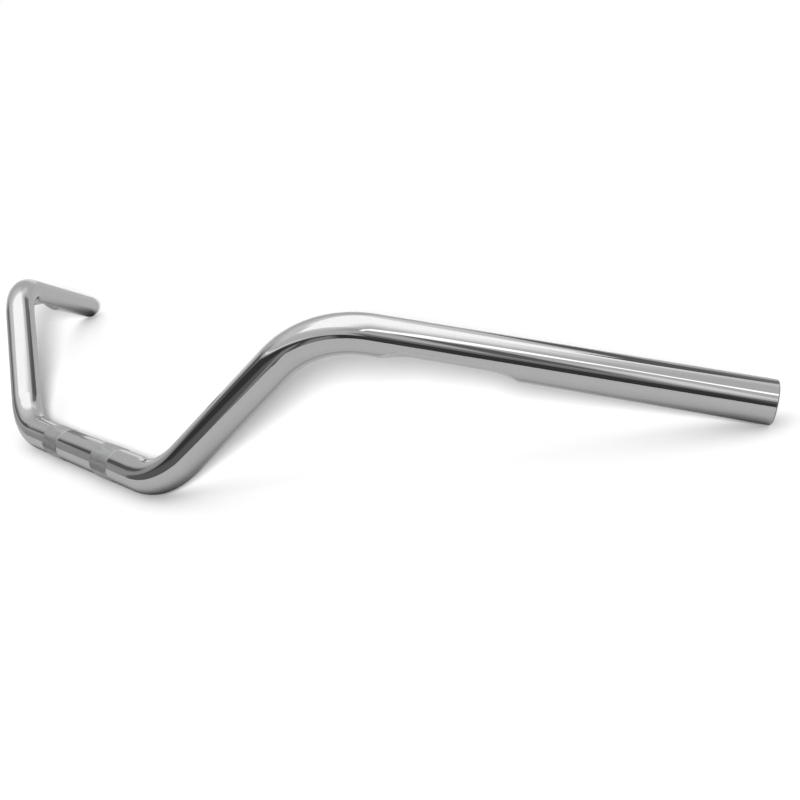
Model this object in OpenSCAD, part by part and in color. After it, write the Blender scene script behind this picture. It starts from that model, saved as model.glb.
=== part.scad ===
// Motorcycle handlebar: one chromed steel tube with four bends, two knurled clamp bands and a
// wiring dimple under each arm. It is written as a tube bender's schedule, from the middle
// outwards, and divided at the schedule's own lines into stretches that meet face to face.
// Millimetres. The origin is the middle of the clamp section, on the tube's axis. +X points to
// the rider's right, +Y forwards and +Z up, with the bar lying on a bench on its clamp section
// and both tips.

/* [Tube] */
// Outside diameter of the tube
tube_d = 25.4; // [22:0.1:28]
// Thickness of the tube's wall
tube_wall = 3; // [2:0.1:4]
// Radius of every bend, at the middle of the tube
bend_r = 76.2; // [60:0.2:100]

/* [Bending schedule] */
// Straight length of the clamp section, between the lower bends
clamp_straight = 186; // [160:1:260]
// Angle of each lower bend, from the clamp section into the riser
lower_bend = 45; // [30:0.5:60]
// Straight length of each riser, between its two bends
riser_straight = 103; // [60:1:180]
// Turn of the tube in the bender between a lower bend and an upper one
plane_turn = 130; // [115:0.5:145]
// Angle of each upper bend, from the riser into the arm
upper_bend = 52.5; // [40:0.5:65]
// Straight length of each arm, from the upper bend to the tip
arm_straight = 228.5; // [222:0.5:300]

/* [Clamp bands] */
// Plain length between the two knurled bands
band_gap = 64; // [50:1:80]
// Width of each knurled band
band_w = 29; // [20:1:38]
// Height of the knurl's crests above the plain tube
knurl_rise = 0.3; // [0.2:0.05:0.5]

/* [Tips] */
// Width of the bevel round the outside and the inside of each tip
tip_bevel = 0.6; // [0.2:0.1:1]
// Depth of the mouth that is reamed in each tip for a bar end plug
mouth_depth = 60; // [30:1:100]
// Metal that the reamer takes off the wall
mouth_ream = 0.2; // [0.2:0.05:0.4]

/* [Wiring dimples] */
// Plain length of the arm between its tip and the dimple
dimple_start = 141; // [120:1:147]
// Length of the dimple, with its run-outs
dimple_length = 80; // [50:1:87]
// Depth of the dimple at its middle
dimple_depth = 5.8; // [3:0.1:6.5]
// Radius of the dimple's hollow, across the tube and in its run-outs
dimple_r = 30; // [20:1:40]
// Turn of the dimple round the arm, away from the inside of the upper bend
dimple_turn = 33; // [0:1:60]

/* [Hidden] */
$fn = 96;

chrome = "#C9CCCF";
knurled_chrome = "#97999B";

tube_r = tube_d / 2;
bore_r = tube_r - tube_wall;
mouth_r = bore_r + mouth_ream;
band_r = tube_r + knurl_rise;
band_inner = band_gap / 2;
band_outer = band_inner + band_w;
shoulder_length = clamp_straight / 2 - band_outer;
// Length by which a cutting shape passes the faces that it opens
pass = 1;

// Where the tips are with the risers upright: each bend as the corner of its two straights
lower_tangent = bend_r * tan(lower_bend / 2);
upper_tangent = bend_r * tan(upper_bend / 2);
riser_way = [cos(lower_bend), 0, sin(lower_bend)];
riser_inside = [-sin(lower_bend), 0, cos(lower_bend)];
turned_inside = cos(plane_turn) * riser_inside + sin(plane_turn) * [0, -1, 0];
arm_way = cos(upper_bend) * riser_way + sin(upper_bend) * turned_inside;
lower_corner = [clamp_straight / 2 + lower_tangent, 0, 0];
upper_corner = lower_corner + (lower_tangent + riser_straight + upper_tangent) * riser_way;
tip_rim = upper_corner + (upper_tangent + arm_straight - tip_bevel) * arm_way;

// Lean of the risers at which the rims of both tips come down to the level of the knurled bands.
// A sloping rim reaches less far below the tube's axis than the level bands do.
rim_distance = norm([tip_rim.y, tip_rim.z]);
rim_bearing = atan2(tip_rim.z, -tip_rim.y);
function slope_at(lean) = arm_way.y * sin(lean) + arm_way.z * cos(lean);
function rim_reach(lean) = tube_r * sqrt(1 - pow(slope_at(lean), 2));
function rim_lean(lean) = rim_bearing + asin((band_r - rim_reach(lean)) / rim_distance);
function settle(lean, steps) = steps == 0 ? lean : settle(rim_lean(lean), steps - 1);
bench_lean = settle(rim_bearing, 6);

// Placement. Along the tube, +Z points outwards and -X to the inside of the next bend.

// One half of the bar, leaning back on the bench
module right() {
    rotate([bench_lean, 0, 0]) rotate([0, 90, 0]) children();
}

module left() {
    mirror([1, 0, 0]) right() children();
}

module along(length) {
    translate([0, 0, length]) children();
}

module past_bend(angle) {
    translate([-bend_r, 0, 0]) rotate([0, -angle, 0]) translate([bend_r, 0, 0]) children();
}

module at_lower_bend() {
    along(clamp_straight / 2) children();
}

module at_riser() {
    at_lower_bend() past_bend(lower_bend) children();
}

module at_upper_bend() {
    at_riser() along(riser_straight) rotate([0, 0, plane_turn]) children();
}

module at_arm() {
    at_upper_bend() past_bend(upper_bend) children();
}

// Shapes of tube

module straight_tube(length, r = tube_r) {
    difference() {
        cylinder(h = length, r = r);
        along(-pass) cylinder(h = length + 2 * pass, r = bore_r);
    }
}

module bent_tube(angle) {
    translate([-bend_r, 0, 0]) rotate([90, 0, 0]) rotate_extrude(angle = angle, $fn = 180)
        translate([bend_r, 0]) difference() {
            circle(r = tube_r);
            circle(r = bore_r);
        }
}

// The round-ended tool that presses the dimple, grown by the wall for the inside of the tube
module dimple_tool(grown = 0) {
    r = dimple_r + grown;
    run_out = sqrt(2 * dimple_r * dimple_depth - pow(dimple_depth, 2));
    tool_length = dimple_length - 2 * run_out;
    tool_start = arm_straight - dimple_start - dimple_length + run_out;
    rotate([0, 0, 180 + dimple_turn]) translate([tube_r - dimple_depth + dimple_r, 0, tool_start]) {
        cylinder(h = tool_length, r = r);
        sphere(r = r);
        along(tool_length) sphere(r = r);
    }
}

// Stretches of the bar, from the middle outwards

module clamp_centre() {
    color(chrome) right() along(-band_inner) straight_tube(band_gap);
}

module knurled_band() {
    color(knurled_chrome) along(band_inner) straight_tube(band_w, band_r);
}

module clamp_shoulder() {
    color(chrome) along(band_outer) straight_tube(shoulder_length);
}

module lower_bend_stretch() {
    color(chrome) at_lower_bend() bent_tube(lower_bend);
}

module riser() {
    color(chrome) at_riser() straight_tube(riser_straight);
}

module upper_bend_stretch() {
    color(chrome) at_upper_bend() bent_tube(upper_bend);
}

// The stretch for the hand grip and the control clamps, bevelled at the tip
module arm_outside() {
    cylinder(h = arm_straight - tip_bevel, r = tube_r);
    along(arm_straight - tip_bevel) cylinder(h = tip_bevel, r1 = tube_r, r2 = tube_r - tip_bevel);
}

// The bore of that stretch, with the mouth reamed and bevelled
module arm_inside() {
    along(-pass) cylinder(h = arm_straight + pass, r = bore_r);
    along(arm_straight - mouth_depth) cylinder(h = mouth_depth + pass, r = mouth_r);
    along(arm_straight - tip_bevel)
        cylinder(h = tip_bevel + pass, r1 = mouth_r, r2 = mouth_r + tip_bevel + pass);
}

// The dimple presses the whole wall in, so it stands into the bore as well
module arm() {
    color(chrome) at_arm() difference() {
        arm_outside();
        dimple_tool();
        difference() {
            arm_inside();
            dimple_tool(tube_wall);
        }
    }
}

clamp_centre();
left() knurled_band();  // left_knurled_band
right() knurled_band();  // right_knurled_band
left() clamp_shoulder();  // left_clamp_shoulder
right() clamp_shoulder();  // right_clamp_shoulder
left() lower_bend_stretch();  // left_lower_bend
right() lower_bend_stretch();  // right_lower_bend
left() riser();  // left_riser
right() riser();  // right_riser
left() upper_bend_stretch();  // left_upper_bend
right() upper_bend_stretch();  // right_upper_bend
left() arm();  // left_arm
right() arm();  // right_arm
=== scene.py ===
"""A motorcycle handlebar: one chromed steel tube, bent four times, with two knurled clamp bands
and a wiring dimple pressed under each arm, lying on a pale bench. Metres."""

from math import asin, atan2, cos, degrees, hypot, pi, radians, sin, sqrt, tan

import bpy
from mathutils import Matrix, Vector


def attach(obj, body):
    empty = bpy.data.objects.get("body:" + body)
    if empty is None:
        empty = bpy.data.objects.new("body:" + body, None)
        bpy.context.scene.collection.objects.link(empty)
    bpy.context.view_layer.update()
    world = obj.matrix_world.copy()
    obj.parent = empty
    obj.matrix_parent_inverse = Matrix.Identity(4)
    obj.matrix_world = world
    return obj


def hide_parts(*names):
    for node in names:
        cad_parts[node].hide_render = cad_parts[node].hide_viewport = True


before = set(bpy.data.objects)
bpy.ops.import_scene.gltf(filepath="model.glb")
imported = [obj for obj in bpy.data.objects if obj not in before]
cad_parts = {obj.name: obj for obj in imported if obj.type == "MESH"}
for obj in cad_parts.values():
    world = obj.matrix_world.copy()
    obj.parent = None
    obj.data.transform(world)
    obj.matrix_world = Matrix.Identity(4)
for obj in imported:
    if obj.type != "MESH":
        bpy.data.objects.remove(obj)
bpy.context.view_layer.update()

MM = 0.001

# The tube and the bender's schedule, as the solids have them
TUBE_R = 12.7 * MM
BORE_R = 9.7 * MM
BEND_R = 76.2 * MM
CLAMP_STRAIGHT = 186 * MM
LOWER_BEND = radians(45)
RISER_STRAIGHT = 103 * MM
PLANE_TURN = radians(130)
UPPER_BEND = radians(52.5)
ARM_STRAIGHT = 228.5 * MM
# Rounds in which the bar's lean on the bench settles
LEAN_ROUNDS = 6

# The clamp bands
BAND_GAP = 64 * MM
BAND_W = 29 * MM
BAND_R = 13 * MM
KNURL_DEPTH = 0.13 * MM
KNURLS_AROUND = 84
KNURL_ROWS = 30

# The tips: their bevel, their reamed mouth and the depth of their turned finish
TIP_BEVEL = 0.6 * MM
TIP_TURNED = 0.9 * MM
MOUTH_DEPTH = 60 * MM
MOUTH_R = 9.9 * MM
# A wall nearer to the axis than this is inside the tube
WIDEST_BORE = 9.95 * MM

# The wiring dimples
DIMPLE_START = 141 * MM
DIMPLE_LENGTH = 80 * MM
DIMPLE_DEPTH = 5.8 * MM
DIMPLE_R = 30 * MM
DIMPLE_TURN = radians(33)
DIMPLE_LIP = 2.5 * MM

# How finely the tube is divided for its mirror finish
SIDES = 144
STEP_ON_BENDS = radians(0.5)
STEP_ON_ARMS = 1.2 * MM
STEPS_ON_CENTRE = 16
STEPS_ON_SHOULDERS = 8
STEPS_ON_RISERS = 24
# Edges that turn by more stay sharp, and points that lie closer become one
SHARP_EDGE = radians(28)
WELD = 0.001 * MM

# The bench: its edge towards the dark room, and its shade to the eye and in mirrors
BENCH_REACH = 30.0
BENCH_FRONT_LEFT = (-0.25, 0.39)
BENCH_FRONT_RIGHT = (0.6, 0.09)
BENCH_SEEN = 1.1
BENCH_MIRRORED = 0.69

# The bar's shade on the bench. A pair says where a change begins and where it is complete.
SHADE_REACH = 80 * MM
SHADE_SAMPLES = 4
SHADE_EASE = 0.2
SEEN_SHADE = 0.75
MIRRORED_SHADE = 2.5
FAR_HALF = (-0.12, -0.02)
FAR_HALF_EASE = 0.1
FAR_HALF_SHADE = 1.5
CORE_SHADE = 0.25
CORE_EDGE = (2 * MM, 21 * MM)
CORE_END = 20 * MM
BEHIND_BAR = (-20 * MM, 0.0)
RAISED_PART = (0.14, 0.36)
RAISED_SOFT = 0.03
FAR_FOOT = (0.1, 0.2)

# A dark card that hangs behind the bar: places on it as distances down and across
FLAG_AT = Vector((0.25, -1.16, 0.29))
FLAG_TILT = radians(39)
FLAG_CORNERS = [(-1.2, 0.35), (-0.85, -0.08), (0.1, -0.11), (0.1, 0.17), (-0.85, 0.26), (-1.2, 0.6)]
# The card's faint glow is painted light, standing for the dim light that falls on it
FLAG_GLOW = 0.1

# The lamp, and the share of the studio's light that reaches the bench
KEY_AT = Vector((-0.859, 0.326, 0.374))
KEY_RADIUS = 0.08
KEY_LEVEL = 1.86
FILL_LEVEL = 0.4

# Levels of light in the studio, where 1 is white
WALL = 0.64
CEILING_PANEL = 1.5
STRIP_LIGHT = 1.9
BLACK_ROOM = 0.05
ROOM_SIDE = 0.17
LOW_CUPBOARD = 0.14
PALE_STAND = 0.28
GREY_CLOTH = 0.2
GREY_SCREEN = 0.38
PALE_SCREEN = 0.46
SCREEN_SLOT = 0.13
DARK_BANNER = 0.15
BACK_DOOR = 0.23
# What parts of the walls have on top of that, and what a shaded beam lacks
UPPER_WALL = 0.2
LOW_RIGHT_WALL = 0.45
BRIGHT_RAIL = 0.5
SHADED_BEAM = 0.14
REAR_WINDOW = 0.25
LEFT_WINDOW = 0.36

# The arch over the dark room, in degrees, and the lowest way to look that meets the ceiling
ARCH_MIDDLE = 32
ARCH_HALF = 50
ARCH_FALL = 10
HORIZON = 0.05

# The strip light: a hoop round a direction, which straightens and narrows at its near end.
# Whole numbers are bearings in degrees, and the others are shares of a way to look.
HOOP_AXIS = Vector((-0.757, 0.383, 0.527))
HOOP_AT = 0.852
HOOP_SHIFT = 0.064
HOOP_SHIFTS_AT = (-83, -71)
STRIP_HALF = 0.04
STRIP_EDGE = (0.75, 1.25)
STRIP_STRAIGHTENS_AT = (-58, -44)
STRIP_END_AT = 0.39
STRIP_END_SHIFTS = ((0.02, (-56, -40)), (0.025, (-38, -29)))
STRIP_NARROWING = 0.024
STRIP_NARROWS_AT = (-52, -34)
STRIP_FOOT = (0.62, 0.7)
STRIP_RIGHT = (-0.33, -0.29)

# The camera: bearings go from +Y to +X, and the roll is to the right
CAMERA_AT = Vector((-726.168, 216.165, 267.665)) * MM
CAMERA_BEARING = radians(125.385)
CAMERA_TILT = radians(23.091)
CAMERA_ROLL = radians(17.686)
SENSOR = 36
LENS = 44.154


class Line:
    """A socket in a node tree. Sums on values add Math nodes, and node() adds any other node."""

    def __init__(self, tree, socket=None):
        self.tree = tree
        self.socket = socket

    def node(self, kind, settings=None, links=None, out=0):
        made = self.tree.nodes.new(kind)
        for name, value in (settings or {}).items():
            setattr(made, name, value)
        for name, value in (links or {}).items():
            if isinstance(value, Line):
                self.tree.links.new(value.socket, made.inputs[name])
            else:
                made.inputs[name].default_value = value
        return Line(self.tree, made.outputs[out] if made.outputs else None)

    def also(self, out):
        return Line(self.tree, self.socket.node.outputs[out])

    def sum(self, operation, *values):
        return self.node("ShaderNodeMath", {"operation": operation}, dict(enumerate(values)))

    def by(self, operation, *others):
        return self.sum(operation, self, *others)

    def __add__(self, other):
        return self.by("ADD", other)

    def __radd__(self, other):
        return self.sum("ADD", other, self)

    def __sub__(self, other):
        return self.by("SUBTRACT", other)

    def __rsub__(self, other):
        return self.sum("SUBTRACT", other, self)

    def __mul__(self, other):
        return self.by("MULTIPLY", other)

    def __rmul__(self, other):
        return self.sum("MULTIPLY", other, self)

    def __truediv__(self, other):
        return self.by("DIVIDE", other)

    def __rtruediv__(self, other):
        return self.sum("DIVIDE", other, self)

    def __pow__(self, other):
        return self.by("POWER", other)

    def __gt__(self, other):
        return self.by("GREATER_THAN", other)

    def __lt__(self, other):
        return self.by("LESS_THAN", other)

    def apart(self):
        first = self.node("ShaderNodeSeparateXYZ", links={0: self})
        return first, first.also(1), first.also(2)

    def vector(self, x, y, z):
        return self.node("ShaderNodeCombineXYZ", links={0: x, 1: y, 2: z})

    def rise(self, low, high):
        """0 below low and 1 above high, with a smooth change between."""
        return self.node(
            "ShaderNodeMapRange",
            {"interpolation_type": "SMOOTHSTEP"},
            {"Value": self, "From Min": low, "From Max": high},
        )

    def between(self, low, high, soft):
        """1 from low to high, with edges that are soft by that much."""
        return self.rise(low - soft, low + soft) * (1 - self.rise(high - soft, high + soft))

    def towards(self, target, share):
        return self + (target - self) * share


# The bar's line, as the bender's schedule gives it


def along(length):
    return Matrix.Translation((0, 0, length))


def past_bend(angle):
    to_centre = Matrix.Translation((-BEND_R, 0, 0))
    return to_centre @ Matrix.Rotation(-angle, 4, "Y") @ to_centre.inverted()


def lean_on_bench():
    """The lean at which both tips come down to the level of the knurled bands."""
    lower_tangent = BEND_R * tan(LOWER_BEND / 2)
    upper_tangent = BEND_R * tan(UPPER_BEND / 2)
    riser_way = Vector((cos(LOWER_BEND), 0, sin(LOWER_BEND)))
    riser_inside = Vector((-sin(LOWER_BEND), 0, cos(LOWER_BEND)))
    turned = cos(PLANE_TURN) * riser_inside + sin(PLANE_TURN) * Vector((0, -1, 0))
    arm_way = cos(UPPER_BEND) * riser_way + sin(UPPER_BEND) * turned
    corner = Vector((CLAMP_STRAIGHT / 2 + lower_tangent, 0, 0))
    corner = corner + (lower_tangent + RISER_STRAIGHT + upper_tangent) * riser_way
    rim = corner + (upper_tangent + ARM_STRAIGHT - TIP_BEVEL) * arm_way
    bearing = atan2(rim.z, -rim.y)
    lean = bearing
    for _ in range(LEAN_ROUNDS):
        slope = arm_way.y * sin(lean) + arm_way.z * cos(lean)
        reach = TUBE_R * sqrt(1 - slope * slope)
        lean = bearing + asin((BAND_R - reach) / hypot(rim.y, rim.z))
    return lean


RIGHT = Matrix.Rotation(lean_on_bench(), 4, "X") @ Matrix.Rotation(pi / 2, 4, "Y")
LEFT = Matrix.Scale(-1, 4, (1, 0, 0)) @ RIGHT
AT_LOWER_BEND = along(CLAMP_STRAIGHT / 2)
AT_RISER = AT_LOWER_BEND @ past_bend(LOWER_BEND)
AT_UPPER_BEND = AT_RISER @ along(RISER_STRAIGHT) @ Matrix.Rotation(PLANE_TURN, 4, "Z")
AT_ARM = AT_UPPER_BEND @ past_bend(UPPER_BEND)

BAND_INNER = BAND_GAP / 2
BAND_OUTER = BAND_INNER + BAND_W
RISER_FROM = CLAMP_STRAIGHT / 2 + BEND_R * LOWER_BEND
UPPER_FROM = RISER_FROM + RISER_STRAIGHT
ARM_FROM = UPPER_FROM + BEND_R * UPPER_BEND


# Finishes


def finish(name):
    """A new material: its first line, and the shader that its lines end in."""
    material = bpy.data.materials.new(name)
    material.use_nodes = True
    tree = material.node_tree
    return material, Line(tree), tree.nodes["Principled BSDF"]


def feed(shader, **sockets):
    for name, value in sockets.items():
        socket = shader.inputs[name.replace("_", " ")]
        if isinstance(value, Line):
            value.tree.links.new(value.socket, socket)
        else:
            socket.default_value = value


def drawn_place(line):
    """Places on the bar as if it were straight, along Z."""
    return line.node("ShaderNodeAttribute", {"attribute_name": "drawn"}, out="Vector")


def cloud(line, place, detail, roughness=0.5):
    return line.node(
        "ShaderNodeTexNoise",
        links={"Vector": place, "Scale": 1.0, "Detail": detail, "Roughness": roughness},
    )


def drawn_cloud(line, across, lengthways, detail, roughness=0.5):
    """A cloud with that many puffs to the metre across the tube and along it."""
    x, y, z = drawn_place(line).apart()
    return cloud(line, line.vector(x * across, y * across, z * lengthways), detail, roughness)


def tint(line, share, low, high):
    """A colour between low and high."""
    return line.node(
        "ShaderNodeMix", {"data_type": "RGBA"}, {0: share, 6: (*low, 1), 7: (*high, 1)}, out=2
    )


def bump(line, height, distance):
    return line.node(
        "ShaderNodeBump", links={"Strength": 1.0, "Distance": distance, "Height": height}
    )


def polished_chrome():
    material, line, shader = finish("polished_chrome")
    haze = drawn_cloud(line, across=70, lengthways=45, detail=4)
    grain = drawn_cloud(line, across=640, lengthways=420, detail=3)
    draw_lines = drawn_cloud(line, across=1400, lengthways=9, detail=2)
    belt_rings = drawn_cloud(line, across=40, lengthways=1600, detail=2)
    ripple = drawn_cloud(line, across=55, lengthways=30, detail=1)
    waves = drawn_cloud(line, across=330, lengthways=3, detail=1)
    wear = haze.rise(0.45, 0.8)
    shine = 0.4 * haze + 0.6 * grain
    relief = ripple + 0.25 * waves + 0.012 * draw_lines + 0.01 * belt_rings
    feed(
        shader,
        Metallic=1.0,
        Base_Color=tint(line, shine, (0.553, 0.555, 0.554), (0.653, 0.655, 0.654)),
        Roughness=0.025 + 0.05 * wear + 0.025 * draw_lines.rise(0.5, 0.8),
        Specular_Tint=(0.86, 0.86, 0.86, 1),
        Normal=bump(line, relief, 0.06 * MM),
    )
    return material


def cut_knurl():
    material, line, shader = finish("cut_knurl")
    crest = line.node("ShaderNodeAttribute", {"attribute_name": "crest"}, out="Fac")
    grit = drawn_cloud(line, across=900, lengthways=900, detail=3)
    streaks = drawn_cloud(line, across=420, lengthways=60, detail=2)
    worn = crest.rise(0.35, 1.0)
    shine = 0.45 * worn + 0.25 * grit.rise(0.3, 0.7) + 0.3 * streaks.rise(0.35, 0.65)
    feed(
        shader,
        Metallic=1.0,
        Base_Color=tint(line, shine, (0.34, 0.342, 0.343), (0.62, 0.622, 0.624)),
        Roughness=0.29 - 0.08 * worn + 0.08 * grit,
        Normal=bump(line, grit, 0.03 * MM),
    )
    return material


def turned_tip():
    material, line, shader = finish("turned_tip")
    x, y, _ = drawn_place(line).apart()
    from_axis = (x * x + y * y) ** 0.5
    tool_marks = cloud(line, line.vector(from_axis * 5200, 0.0, 0.0), detail=2)
    feed(
        shader,
        Metallic=1.0,
        Base_Color=tint(line, tool_marks, (0.26, 0.262, 0.265), (0.38, 0.382, 0.385)),
        Roughness=0.12 + 0.16 * tool_marks,
        Normal=bump(line, tool_marks, 0.04 * MM),
    )
    return material


def bare_bore():
    material, line, shader = finish("bare_bore")
    scale = drawn_cloud(line, across=260, lengthways=120, detail=5, roughness=0.6)
    draw_lines = drawn_cloud(line, across=1100, lengthways=14, detail=2)
    shine = scale.rise(0.35, 0.7)
    feed(
        shader,
        Metallic=1.0,
        Base_Color=tint(line, shine, (0.10, 0.094, 0.088), (0.25, 0.24, 0.23)),
        Roughness=0.45 + 0.2 * scale + 0.1 * draw_lines,
        Normal=bump(line, scale + 0.5 * draw_lines, 0.08 * MM),
    )
    return material


CHROME = polished_chrome()
KNURL = cut_knurl()
TIP = turned_tip()
BORE = bare_bore()


# Stretches of tube, turned by Geometry Nodes

SIZES_OF_ALL = {"Sides": "Int", "From Middle": "Float", "Way": "Float", "Roll": "Float"}
FINISHES_OF_ALL = {"Wall Finish": "Material", "Bore Finish": "Material", "Tip Finish": "Material"}
SIZES_OF_BENDS = {"Bend Radius": "Float"}
SIZES_OF_ARMS = {
    "Tool Radius": "Float",
    "Tool Distance": "Float",
    "Tool Turn": "Float",
    "Tool Start": "Float",
    "Tool End": "Float",
    "Lip": "Float",
    "Tip At": "Float",
}
SIZES_OF_BANDS = {"Groove Depth": "Float"}


def pressed_in(size, radius, around, distance):
    """The radius once the round-ended tool has pressed the wall in, with rounded lips."""
    before = size["Tool Start"] - distance
    past_end = before.by("MAXIMUM", distance - size["Tool End"]).by("MAXIMUM", 0.0)
    turned = around - size["Tool Turn"]
    reach = size["Tool Radius"] + TUBE_R - radius
    aside = size["Tool Distance"] * turned.by("SINE")
    ahead = size["Tool Distance"] * turned.by("COSINE")
    room = reach * reach - past_end * past_end - aside * aside
    meets = (room > 0.0) * (ahead > 0.0)
    tool_face = ahead - room.by("MAXIMUM", 0.0).by("SQRT")
    return radius.by("SMOOTH_MIN", tool_face + (1 - meets), size["Lip"])


def keep(line, shape, title, kind, value):
    return line.node(
        "GeometryNodeStoreNamedAttribute",
        {"data_type": kind, "domain": "POINT"},
        {"Geometry": shape, "Name": title, "Value": value},
    )


def kept(line, title):
    return line.node("GeometryNodeInputNamedAttribute", {"data_type": "FLOAT"}, {"Name": title})


def dress(line, shape, size, pressed):
    """Shades the stretch smooth up to its sharp edges, and gives it its finishes."""
    edge = line.node("GeometryNodeInputMeshEdgeAngle")
    shape = line.node(
        "GeometryNodeSetShadeSmooth", {"domain": "FACE"}, {"Geometry": shape, "Shade Smooth": True}
    )
    shape = line.node(
        "GeometryNodeSetShadeSmooth",
        {"domain": "EDGE"},
        {"Geometry": shape, "Selection": edge > SHARP_EDGE, "Shade Smooth": False},
    )
    shape = line.node("GeometryNodeRealizeInstances", links={"Geometry": shape})
    shape = line.node(
        "GeometryNodeSetMaterial", links={"Geometry": shape, "Material": size["Wall Finish"]}
    )
    inside = kept(line, "in_wall") < WIDEST_BORE
    shape = line.node(
        "GeometryNodeSetMaterial",
        links={"Geometry": shape, "Selection": inside, "Material": size["Bore Finish"]},
    )
    if pressed:
        # A face is on the tip where all its corners are
        on_tip = kept(line, "on_tip") > 0.99
        shape = line.node(
            "GeometryNodeSetMaterial",
            links={"Geometry": shape, "Selection": on_tip, "Material": size["Tip Finish"]},
        )
    return shape


def stretch_tree(name, bent=False, pressed=False, knurled=False):
    """Turns a section, as points of radius and distance, round the tube's axis."""
    tree = bpy.data.node_groups.new(name, "GeometryNodeTree")
    tree.interface.new_socket("Section", in_out="INPUT", socket_type="NodeSocketGeometry")
    tree.interface.new_socket("Stretch", in_out="OUTPUT", socket_type="NodeSocketGeometry")
    asked = dict(SIZES_OF_ALL)
    asked.update(SIZES_OF_BENDS if bent else {})
    asked.update(SIZES_OF_ARMS if pressed else {})
    asked.update(SIZES_OF_BANDS if knurled else {})
    asked.update(FINISHES_OF_ALL)
    for title, kind in asked.items():
        tree.interface.new_socket(title, in_out="INPUT", socket_type="NodeSocket" + kind)
    line = Line(tree)
    section = line.node("NodeGroupInput")
    size = {title: section.also(title) for title in asked}

    # One ring of the cylinder for each point of the section, and the last ring on the first
    corners = line.node("GeometryNodeAttributeDomainSize", links={0: section})
    place = line.node("GeometryNodeInputPosition")
    rings = line.node(
        "GeometryNodeMeshCylinder",
        {"fill_type": "NONE"},
        {"Vertices": size["Sides"], "Side Segments": corners, "Radius": 1.0, "Depth": 1.0},
    )
    x, y, z = place.apart()
    around = y.by("ARCTAN2", x)
    ring = ((z + 0.5) * corners).by("ROUND")
    corner = line.node(
        "GeometryNodeSampleIndex",
        {"data_type": "FLOAT_VECTOR", "domain": "POINT"},
        {"Geometry": section, "Value": place, "Index": ring.by("MODULO", corners)},
    )
    radius, _, distance = corner.apart()
    shape = keep(line, rings, "in_wall", "FLOAT", radius)
    if pressed:
        radius = pressed_in(size, radius, around, distance)
        shape = keep(line, shape, "on_tip", "FLOAT", distance > size["Tip At"])
    if knurled:
        side = around * size["Sides"] / (2 * pi)
        crest = (ring + side.by("ROUND")).by("PINGPONG", 1.0)
        on_band = radius > (TUBE_R + BAND_R) / 2
        radius = radius - size["Groove Depth"] * on_band * (1 - crest)
        shape = keep(line, shape, "crest", "FLOAT", crest)

    # Where each point lies on the straight tube, and where the bend takes it
    turned = around + size["Roll"]
    drawn = line.vector(
        radius * turned.by("COSINE"),
        radius * turned.by("SINE"),
        size["Way"] * (size["From Middle"] + distance),
    )
    shape = keep(line, shape, "drawn", "FLOAT_VECTOR", drawn)
    out = radius * around.by("COSINE")
    aside = radius * around.by("SINE")
    spot = line.vector(out, aside, distance)
    if bent:
        swing = distance / size["Bend Radius"]
        reach = size["Bend Radius"] + out
        from_start = reach * swing.by("COSINE") - size["Bend Radius"]
        spot = line.vector(from_start, aside, reach * swing.by("SINE"))
    shape = line.node("GeometryNodeSetPosition", links={"Geometry": shape, "Position": spot})
    shape = line.node("GeometryNodeMergeByDistance", links={"Geometry": shape, "Distance": WELD})
    if knurled:
        shape = line.node(
            "GeometryNodeTriangulate", {"quad_method": "SHORTEST_DIAGONAL"}, {"Mesh": shape}
        )
    line.node("NodeGroupOutput", links={"Stretch": dress(line, shape, size, pressed)})
    return tree


STRAIGHT = stretch_tree("Straight stretch")
BENT = stretch_tree("Bent stretch", bent=True)
ARM = stretch_tree("Arm with a dimple", pressed=True)
BAND = stretch_tree("Knurled band", knurled=True)


def steps(start, end, count):
    return [start + (end - start) * i / count for i in range(count + 1)]


def tube_section(length, count):
    outside = [(TUBE_R, s) for s in steps(0, length, count)]
    return outside + [(BORE_R, s) for s in steps(length, 0, count)]


def band_section():
    outside = [(BAND_R, s) for s in steps(0, BAND_W, 2 * KNURL_ROWS)]
    outside[0] = (TUBE_R, 0)
    outside[-1] = (TUBE_R, BAND_W)
    return outside + [(BORE_R, s) for s in (BAND_W, 0)]


def arm_section():
    rim = ARM_STRAIGHT - TIP_BEVEL
    mouth = ARM_STRAIGHT - MOUTH_DEPTH
    outside = [(TUBE_R, s) for s in steps(0, rim, round(rim / STEP_ON_ARMS))]
    tip = [(TUBE_R - TIP_BEVEL, ARM_STRAIGHT), (MOUTH_R + TIP_BEVEL, ARM_STRAIGHT)]
    inside = [(MOUTH_R, rim), (MOUTH_R, mouth)]
    inside += [(BORE_R, s) for s in steps(mouth, 0, round(mouth / STEP_ON_ARMS))]
    return outside + tip + inside


def stretch(node, slot, tree, section, place, **sizes):
    """One stretch of the bar: turned from its section, set in its place, and dressed."""
    points = bpy.data.meshes.new(node + "_section")
    points.from_pydata([(r, 0, s) for r, s in section], [], [])
    lathe = bpy.data.objects.new(node + "_section", points)
    bpy.context.scene.collection.objects.link(lathe)
    turning = lathe.modifiers.new("Turning", "NODES")
    turning.node_group = tree
    given = {"Sides": SIDES, "Wall Finish": CHROME, "Bore Finish": BORE, "Tip Finish": TIP}
    given.update({title.replace("_", " "): value for title, value in sizes.items()})
    for item in tree.interface.items_tree:
        if item.in_out == "INPUT" and item.name in given:
            turning[item.identifier] = given[item.name]
    view = bpy.context.evaluated_depsgraph_get()
    mesh = bpy.data.meshes.new_from_object(lathe.evaluated_get(view))
    bpy.data.objects.remove(lathe)
    mesh.transform(place)
    if place.determinant() < 0:
        mesh.flip_normals()
    mesh.name = node + "_tube"
    piece = bpy.data.objects.new(node + "_tube", mesh)
    bpy.context.scene.collection.objects.link(piece)
    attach(piece, "root")
    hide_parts(node)


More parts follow.
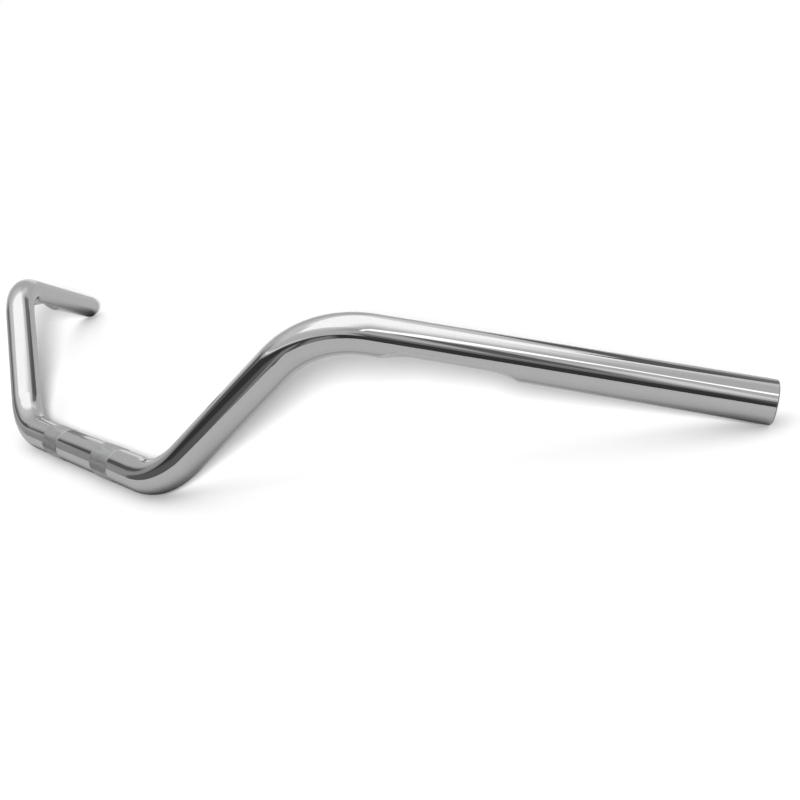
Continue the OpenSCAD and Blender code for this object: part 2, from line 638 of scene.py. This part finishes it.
def half_bar(hand, side, way):
    """The stretches of one half, from the knurled band out to the tip."""
    stretch(
        hand + "_knurled_band", "knurled_chrome", BAND, band_section(), side @ along(BAND_INNER),
        Sides=2 * KNURLS_AROUND, From_Middle=BAND_INNER, Way=way, Roll=0.0,
        Groove_Depth=KNURL_DEPTH, Wall_Finish=KNURL,
    )
    shoulder = tube_section(CLAMP_STRAIGHT / 2 - BAND_OUTER, STEPS_ON_SHOULDERS)
    stretch(
        hand + "_clamp_shoulder", "chrome", STRAIGHT, shoulder, side @ along(BAND_OUTER),
        From_Middle=BAND_OUTER, Way=way, Roll=0.0,
    )
    for title, place, angle, start, roll in (
        ("_lower_bend", AT_LOWER_BEND, LOWER_BEND, CLAMP_STRAIGHT / 2, 0.0),
        ("_upper_bend", AT_UPPER_BEND, UPPER_BEND, UPPER_FROM, PLANE_TURN),
    ):
        bend = tube_section(BEND_R * angle, round(angle / STEP_ON_BENDS))
        stretch(
            hand + title, "chrome", BENT, bend, side @ place,
            From_Middle=start, Way=way, Roll=roll, Bend_Radius=BEND_R,
        )
    riser = tube_section(RISER_STRAIGHT, STEPS_ON_RISERS)
    stretch(
        hand + "_riser", "chrome", STRAIGHT, riser, side @ AT_RISER,
        From_Middle=RISER_FROM, Way=way, Roll=0.0,
    )
    run_out = sqrt(2 * DIMPLE_R * DIMPLE_DEPTH - DIMPLE_DEPTH**2)
    dimple_end = ARM_STRAIGHT - DIMPLE_START
    stretch(
        hand + "_arm", "chrome", ARM, arm_section(), side @ AT_ARM,
        From_Middle=ARM_FROM, Way=way, Roll=PLANE_TURN,
        Tool_Radius=DIMPLE_R, Tool_Distance=TUBE_R - DIMPLE_DEPTH + DIMPLE_R,
        Tool_Turn=pi + DIMPLE_TURN, Tool_Start=dimple_end - DIMPLE_LENGTH + run_out,
        Tool_End=dimple_end - run_out, Lip=DIMPLE_LIP, Tip_At=ARM_STRAIGHT - TIP_TURNED,
    )


stretch(
    "clamp_centre", "chrome", STRAIGHT, tube_section(BAND_GAP, STEPS_ON_CENTRE),
    RIGHT @ along(-BAND_INNER), From_Middle=-BAND_INNER, Way=1.0, Roll=0.0,
)
half_bar("right", RIGHT, 1.0)
half_bar("left", LEFT, -1.0)


# The bench, the studio and the camera


def flat_piece(name, corners):
    """A flat many-sided face, as an object of the scene."""
    mesh = bpy.data.meshes.new(name)
    mesh.from_pydata(corners, [], [range(len(corners))])
    piece = bpy.data.objects.new(name, mesh)
    bpy.context.scene.collection.objects.link(piece)
    return piece


def shades_by_bar(line, place):
    """The bar's shade on the bench, as shares of its paint: to the eye, and in mirrors."""
    x, y, _ = place.apart()
    corner = CLAMP_STRAIGHT / 2 + BEND_R * tan(LOWER_BEND / 2)
    tip = (RIGHT @ AT_ARM @ along(ARM_STRAIGHT)).translation
    sweep = -tip.y / (tip.x - corner)
    aside = x.by("ABSOLUTE")
    ahead = (y + sweep * (aside - corner).by("MAXIMUM", 0.0)) / hypot(1, sweep)
    open_sky = line.node(
        "ShaderNodeAmbientOcclusion", {"samples": SHADE_SAMPLES}, {"Distance": SHADE_REACH}, out="AO"
    )

    # Mirrors show the soft shade round the bar, and its core straight below
    far_half = x.rise(*FAR_HALF)
    core = (1 - ahead.by("ABSOLUTE").rise(*CORE_EDGE)) * (1 - aside.rise(tip.x - CORE_END, tip.x))
    soft = (open_sky + SHADE_EASE + FAR_HALF_EASE * far_half).by("MINIMUM", 1.0)
    mirrored = (1 - CORE_SHADE * core) * soft ** (MIRRORED_SHADE + FAR_HALF_SHADE * far_half)

    # The eye sees the soft shade, except behind the parts of the bar that lie low
    behind = (1 - ahead.rise(*BEHIND_BAR)) * (1 - aside.between(*RAISED_PART, RAISED_SOFT))
    behind = behind * (1 - x.rise(*FAR_FOOT))
    soft = (open_sky + SHADE_EASE).by("MINIMUM", 1.0).towards(1.0, behind)
    seen = (1 - SEEN_SHADE) + SEEN_SHADE * soft
    return seen, mirrored


def lay_bench():
    """A wide pale bench that ends towards the dark room, evenly white to the eye."""
    far = BENCH_REACH
    left, right = BENCH_FRONT_LEFT, BENCH_FRONT_RIGHT
    edge = [(-far, -far), (far, -far), (far, right[1]), right, left, (left[0], far), (-far, far)]
    bench = flat_piece("bench", [(x, y, -BAND_R) for x, y in edge])
    material, line, shader = finish("pale_bench")
    place = line.node("ShaderNodeTexCoord", out="Object")
    seen, mirrored = shades_by_bar(line, place)
    to_eye = line.node("ShaderNodeLightPath", out="Is Camera Ray")
    shade = (BENCH_MIRRORED * mirrored).towards(BENCH_SEEN * seen, to_eye)
    from_key = line.node(
        "ShaderNodeVectorMath", {"operation": "DISTANCE"}, {0: place, 1: KEY_AT}, out="Value"
    )
    lit = FILL_LEVEL + KEY_LEVEL * (KEY_AT.z + BAND_R) / from_key
    paint = shade / lit.by("MAXIMUM", 1.0)
    glow = shade * (1 - lit).by("MAXIMUM", 0.0)
    feed(
        shader,
        Base_Color=line.vector(paint, paint, paint),
        Roughness=1.0,
        Specular_IOR_Level=0.0,
        Emission_Color=line.vector(glow, glow, glow),
        Emission_Strength=1.0,
    )
    bench.data.materials.append(material)


def hang_flag():
    """A long dark card behind the bar, which only its mirror finish shows."""
    down = Vector((cos(FLAG_TILT), 0.0, -sin(FLAG_TILT)))
    across = Vector((sin(FLAG_TILT), 0.0, cos(FLAG_TILT)))
    flag = flat_piece("flag", [FLAG_AT + a * down + b * across for a, b in FLAG_CORNERS])
    flag.visible_camera = False
    flag.visible_diffuse = False
    flag.visible_shadow = False
    material, line, shader = finish("black_cloth")
    weave = cloud(line, line.node("ShaderNodeTexCoord", out="Object"), detail=2)
    feed(
        shader,
        Base_Color=tint(line, weave, (0.02, 0.02, 0.02), (0.03, 0.03, 0.03)),
        Roughness=1.0,
        Specular_IOR_Level=0.0,
        # Painted light: the card glows faintly in place of the dim light that falls on it
        Emission_Color=(1, 1, 1, 1),
        Emission_Strength=FLAG_GLOW,
    )
    flag.data.materials.append(material)


class Studio:
    """Ways to look from the bar, and the parts of the studio that lie there. Degrees.

    Bearings go from +Y to +X. Those from behind go from -Y to -X."""

    def __init__(self, line):
        self.x, self.y, self.z = line.node("ShaderNodeTexCoord", out="Generated").apart()
        self.height = self.z.by("ARCSINE") * degrees(1)
        self.bearing = self.x.by("ARCTAN2", self.y) * degrees(1)
        self.from_behind = (0 - self.x).by("ARCTAN2", 0 - self.y) * degrees(1)

    def patch(self, bearings, heights, soft=3, around=None, above=None):
        around = around or self.bearing
        above = above or self.height
        return around.between(*bearings, soft) * above.between(*heights, soft)

    def walls(self):
        """Pale walls: lighter above and low on the right, with a bright rail and two windows."""
        bearing, height = self.bearing, self.height
        light = WALL + UPPER_WALL * height.rise(30, 46) * self.x.rise(-0.3, -0.05)
        light = light + LOW_RIGHT_WALL * bearing.between(94, 130, 10) * (1 - height.rise(4, 16))
        light = light + BRIGHT_RAIL * bearing.between(4, 58, 5) * height.between(28.5, 30.5, 1)
        light = light - SHADED_BEAM * bearing.between(-36, 40, 10) * height.between(38, 50, 5)
        light = light + REAR_WINDOW * self.patch((-38, -26), (22, 60), 5, around=self.from_behind)
        return light + LEFT_WINDOW * self.patch((-63, -53), (31, 47), 2.5)

    def ceiling_panels(self):
        """Two bright panels on a ceiling at a height of 1."""
        over = self.z.by("MAXIMUM", HORIZON)
        x = self.x / over
        y = self.y / over
        near = x.rise(-0.4, -0.02) * (1 - x.rise(0.48, 0.62))
        near = near * y.rise(-0.5, -0.2) * (1 - y.rise(0.55, 0.72))
        far = x.rise(-0.2, 0.02) * (1 - x.rise(0.55, 0.85))
        far = far * y.rise(-0.95, -0.7) * (1 - y.rise(0.08, 0.26))
        return near.by("MAXIMUM", far)

    def furnished(self, light):
        """The light with the dark room and its furniture, screens and cloths before it."""
        floor = -30
        off_middle = (self.bearing - ARCH_MIDDLE) / ARCH_HALF
        arch = self.height + ARCH_FALL * off_middle * off_middle
        light = light.towards(ROOM_SIDE, self.patch((-62, -48), (floor, 24)))
        light = light.towards(BLACK_ROOM, self.patch((-50, -22), (floor, 22)))
        light = light.towards(BLACK_ROOM, self.patch((-24, 62), (floor, 27.5), 2, above=arch))
        light = light.towards(LOW_CUPBOARD, self.patch((9, 62), (floor, 13)))
        light = light.towards(PALE_STAND, self.patch((-12, -3), (floor, 16), 2))
        light = light.towards(PALE_STAND, self.patch((0, 9), (floor, 16), 2))
        light = light.towards(GREY_CLOTH, self.patch((-50, -20), (21, 29), 4))
        light = light.towards(GREY_SCREEN, self.patch((62, 72), (floor, 34)))
        light = light.towards(PALE_SCREEN, self.patch((72, 84), (floor, 26)))
        light = light.towards(SCREEN_SLOT, self.patch((62, 79), (17, 25), 1.5))
        light = light.towards(DARK_BANNER, self.patch((-49, -38), (30, 52), 2))
        return light.towards(BACK_DOOR, self.patch((-19, 12), (15, 37), around=self.from_behind))

    def strip_light(self):
        """A thin hoop of light overhead on the left."""
        x, bearing = self.x, self.bearing
        hoop = HOOP_AXIS.x * x + HOOP_AXIS.y * self.y + HOOP_AXIS.z * self.z - HOOP_AT
        hoop = hoop - HOOP_SHIFT * (1 - bearing.rise(*HOOP_SHIFTS_AT))
        hoop = hoop.by("ABSOLUTE") / STRIP_HALF
        end = x + STRIP_END_AT
        for shift, bearings in STRIP_END_SHIFTS:
            end = end - shift * bearing.rise(*bearings)
        end = end.by("ABSOLUTE") / (STRIP_HALF - STRIP_NARROWING * bearing.rise(*STRIP_NARROWS_AT))
        off_strip = hoop.towards(end, bearing.rise(*STRIP_STRAIGHTENS_AT))
        strip = (1 - off_strip.rise(*STRIP_EDGE)) * self.z.rise(*STRIP_FOOT)
        return strip * (1 - x.rise(*STRIP_RIGHT))


def light_studio():
    """The studio round the bench, white to the eye and dimmed where it lights the bench."""
    world = bpy.data.worlds.new("studio")
    world.use_nodes = True
    bpy.context.scene.world = world
    tree = world.node_tree
    line = Line(tree)
    studio = Studio(line)
    light = studio.walls().towards(CEILING_PANEL, studio.ceiling_panels())
    light = studio.furnished(light).towards(STRIP_LIGHT, studio.strip_light())
    to_eye = line.node("ShaderNodeLightPath", out="Is Camera Ray")
    light = light * (1 - (1 - FILL_LEVEL) * to_eye.also("Is Diffuse Ray"))
    light = light.towards(1.0, to_eye)
    background = tree.nodes["Background"]
    background.inputs["Strength"].default_value = 1.0
    tree.links.new(line.vector(light, light, light).socket, background.inputs["Color"])


def hang_key():
    """A lamp near the camera, as strong at any distance. Its level is that of a face turned to it."""
    key = bpy.data.lights.new("key", "POINT")
    key.energy = 4 * pi**2 * KEY_LEVEL
    key.shadow_soft_size = KEY_RADIUS
    key.use_nodes = True
    tree = key.node_tree
    even = Line(tree).node("ShaderNodeLightFalloff", links={"Strength": 1.0}, out="Constant")
    tree.links.new(even.socket, tree.nodes["Emission"].inputs["Strength"])
    lamp = bpy.data.objects.new("key", key)
    lamp.location = KEY_AT
    lamp.visible_camera = False
    lamp.visible_glossy = False
    bpy.context.scene.collection.objects.link(lamp)


def stand_camera():
    eye = bpy.data.cameras.new("camera")
    eye.sensor_width = SENSOR
    eye.lens = LENS
    camera = bpy.data.objects.new("camera", eye)
    turn = Matrix.Rotation(-CAMERA_BEARING, 4, "Z")
    tilt = Matrix.Rotation(pi / 2 - CAMERA_TILT, 4, "X")
    roll = Matrix.Rotation(-CAMERA_ROLL, 4, "Z")
    camera.matrix_world = Matrix.Translation(CAMERA_AT) @ turn @ tilt @ roll
    bpy.context.scene.collection.objects.link(camera)
    bpy.context.scene.camera = camera


lay_bench()
hang_flag()
light_studio()
hang_key()
stand_camera()
bpy.context.scene.view_settings.view_transform = "Standard"
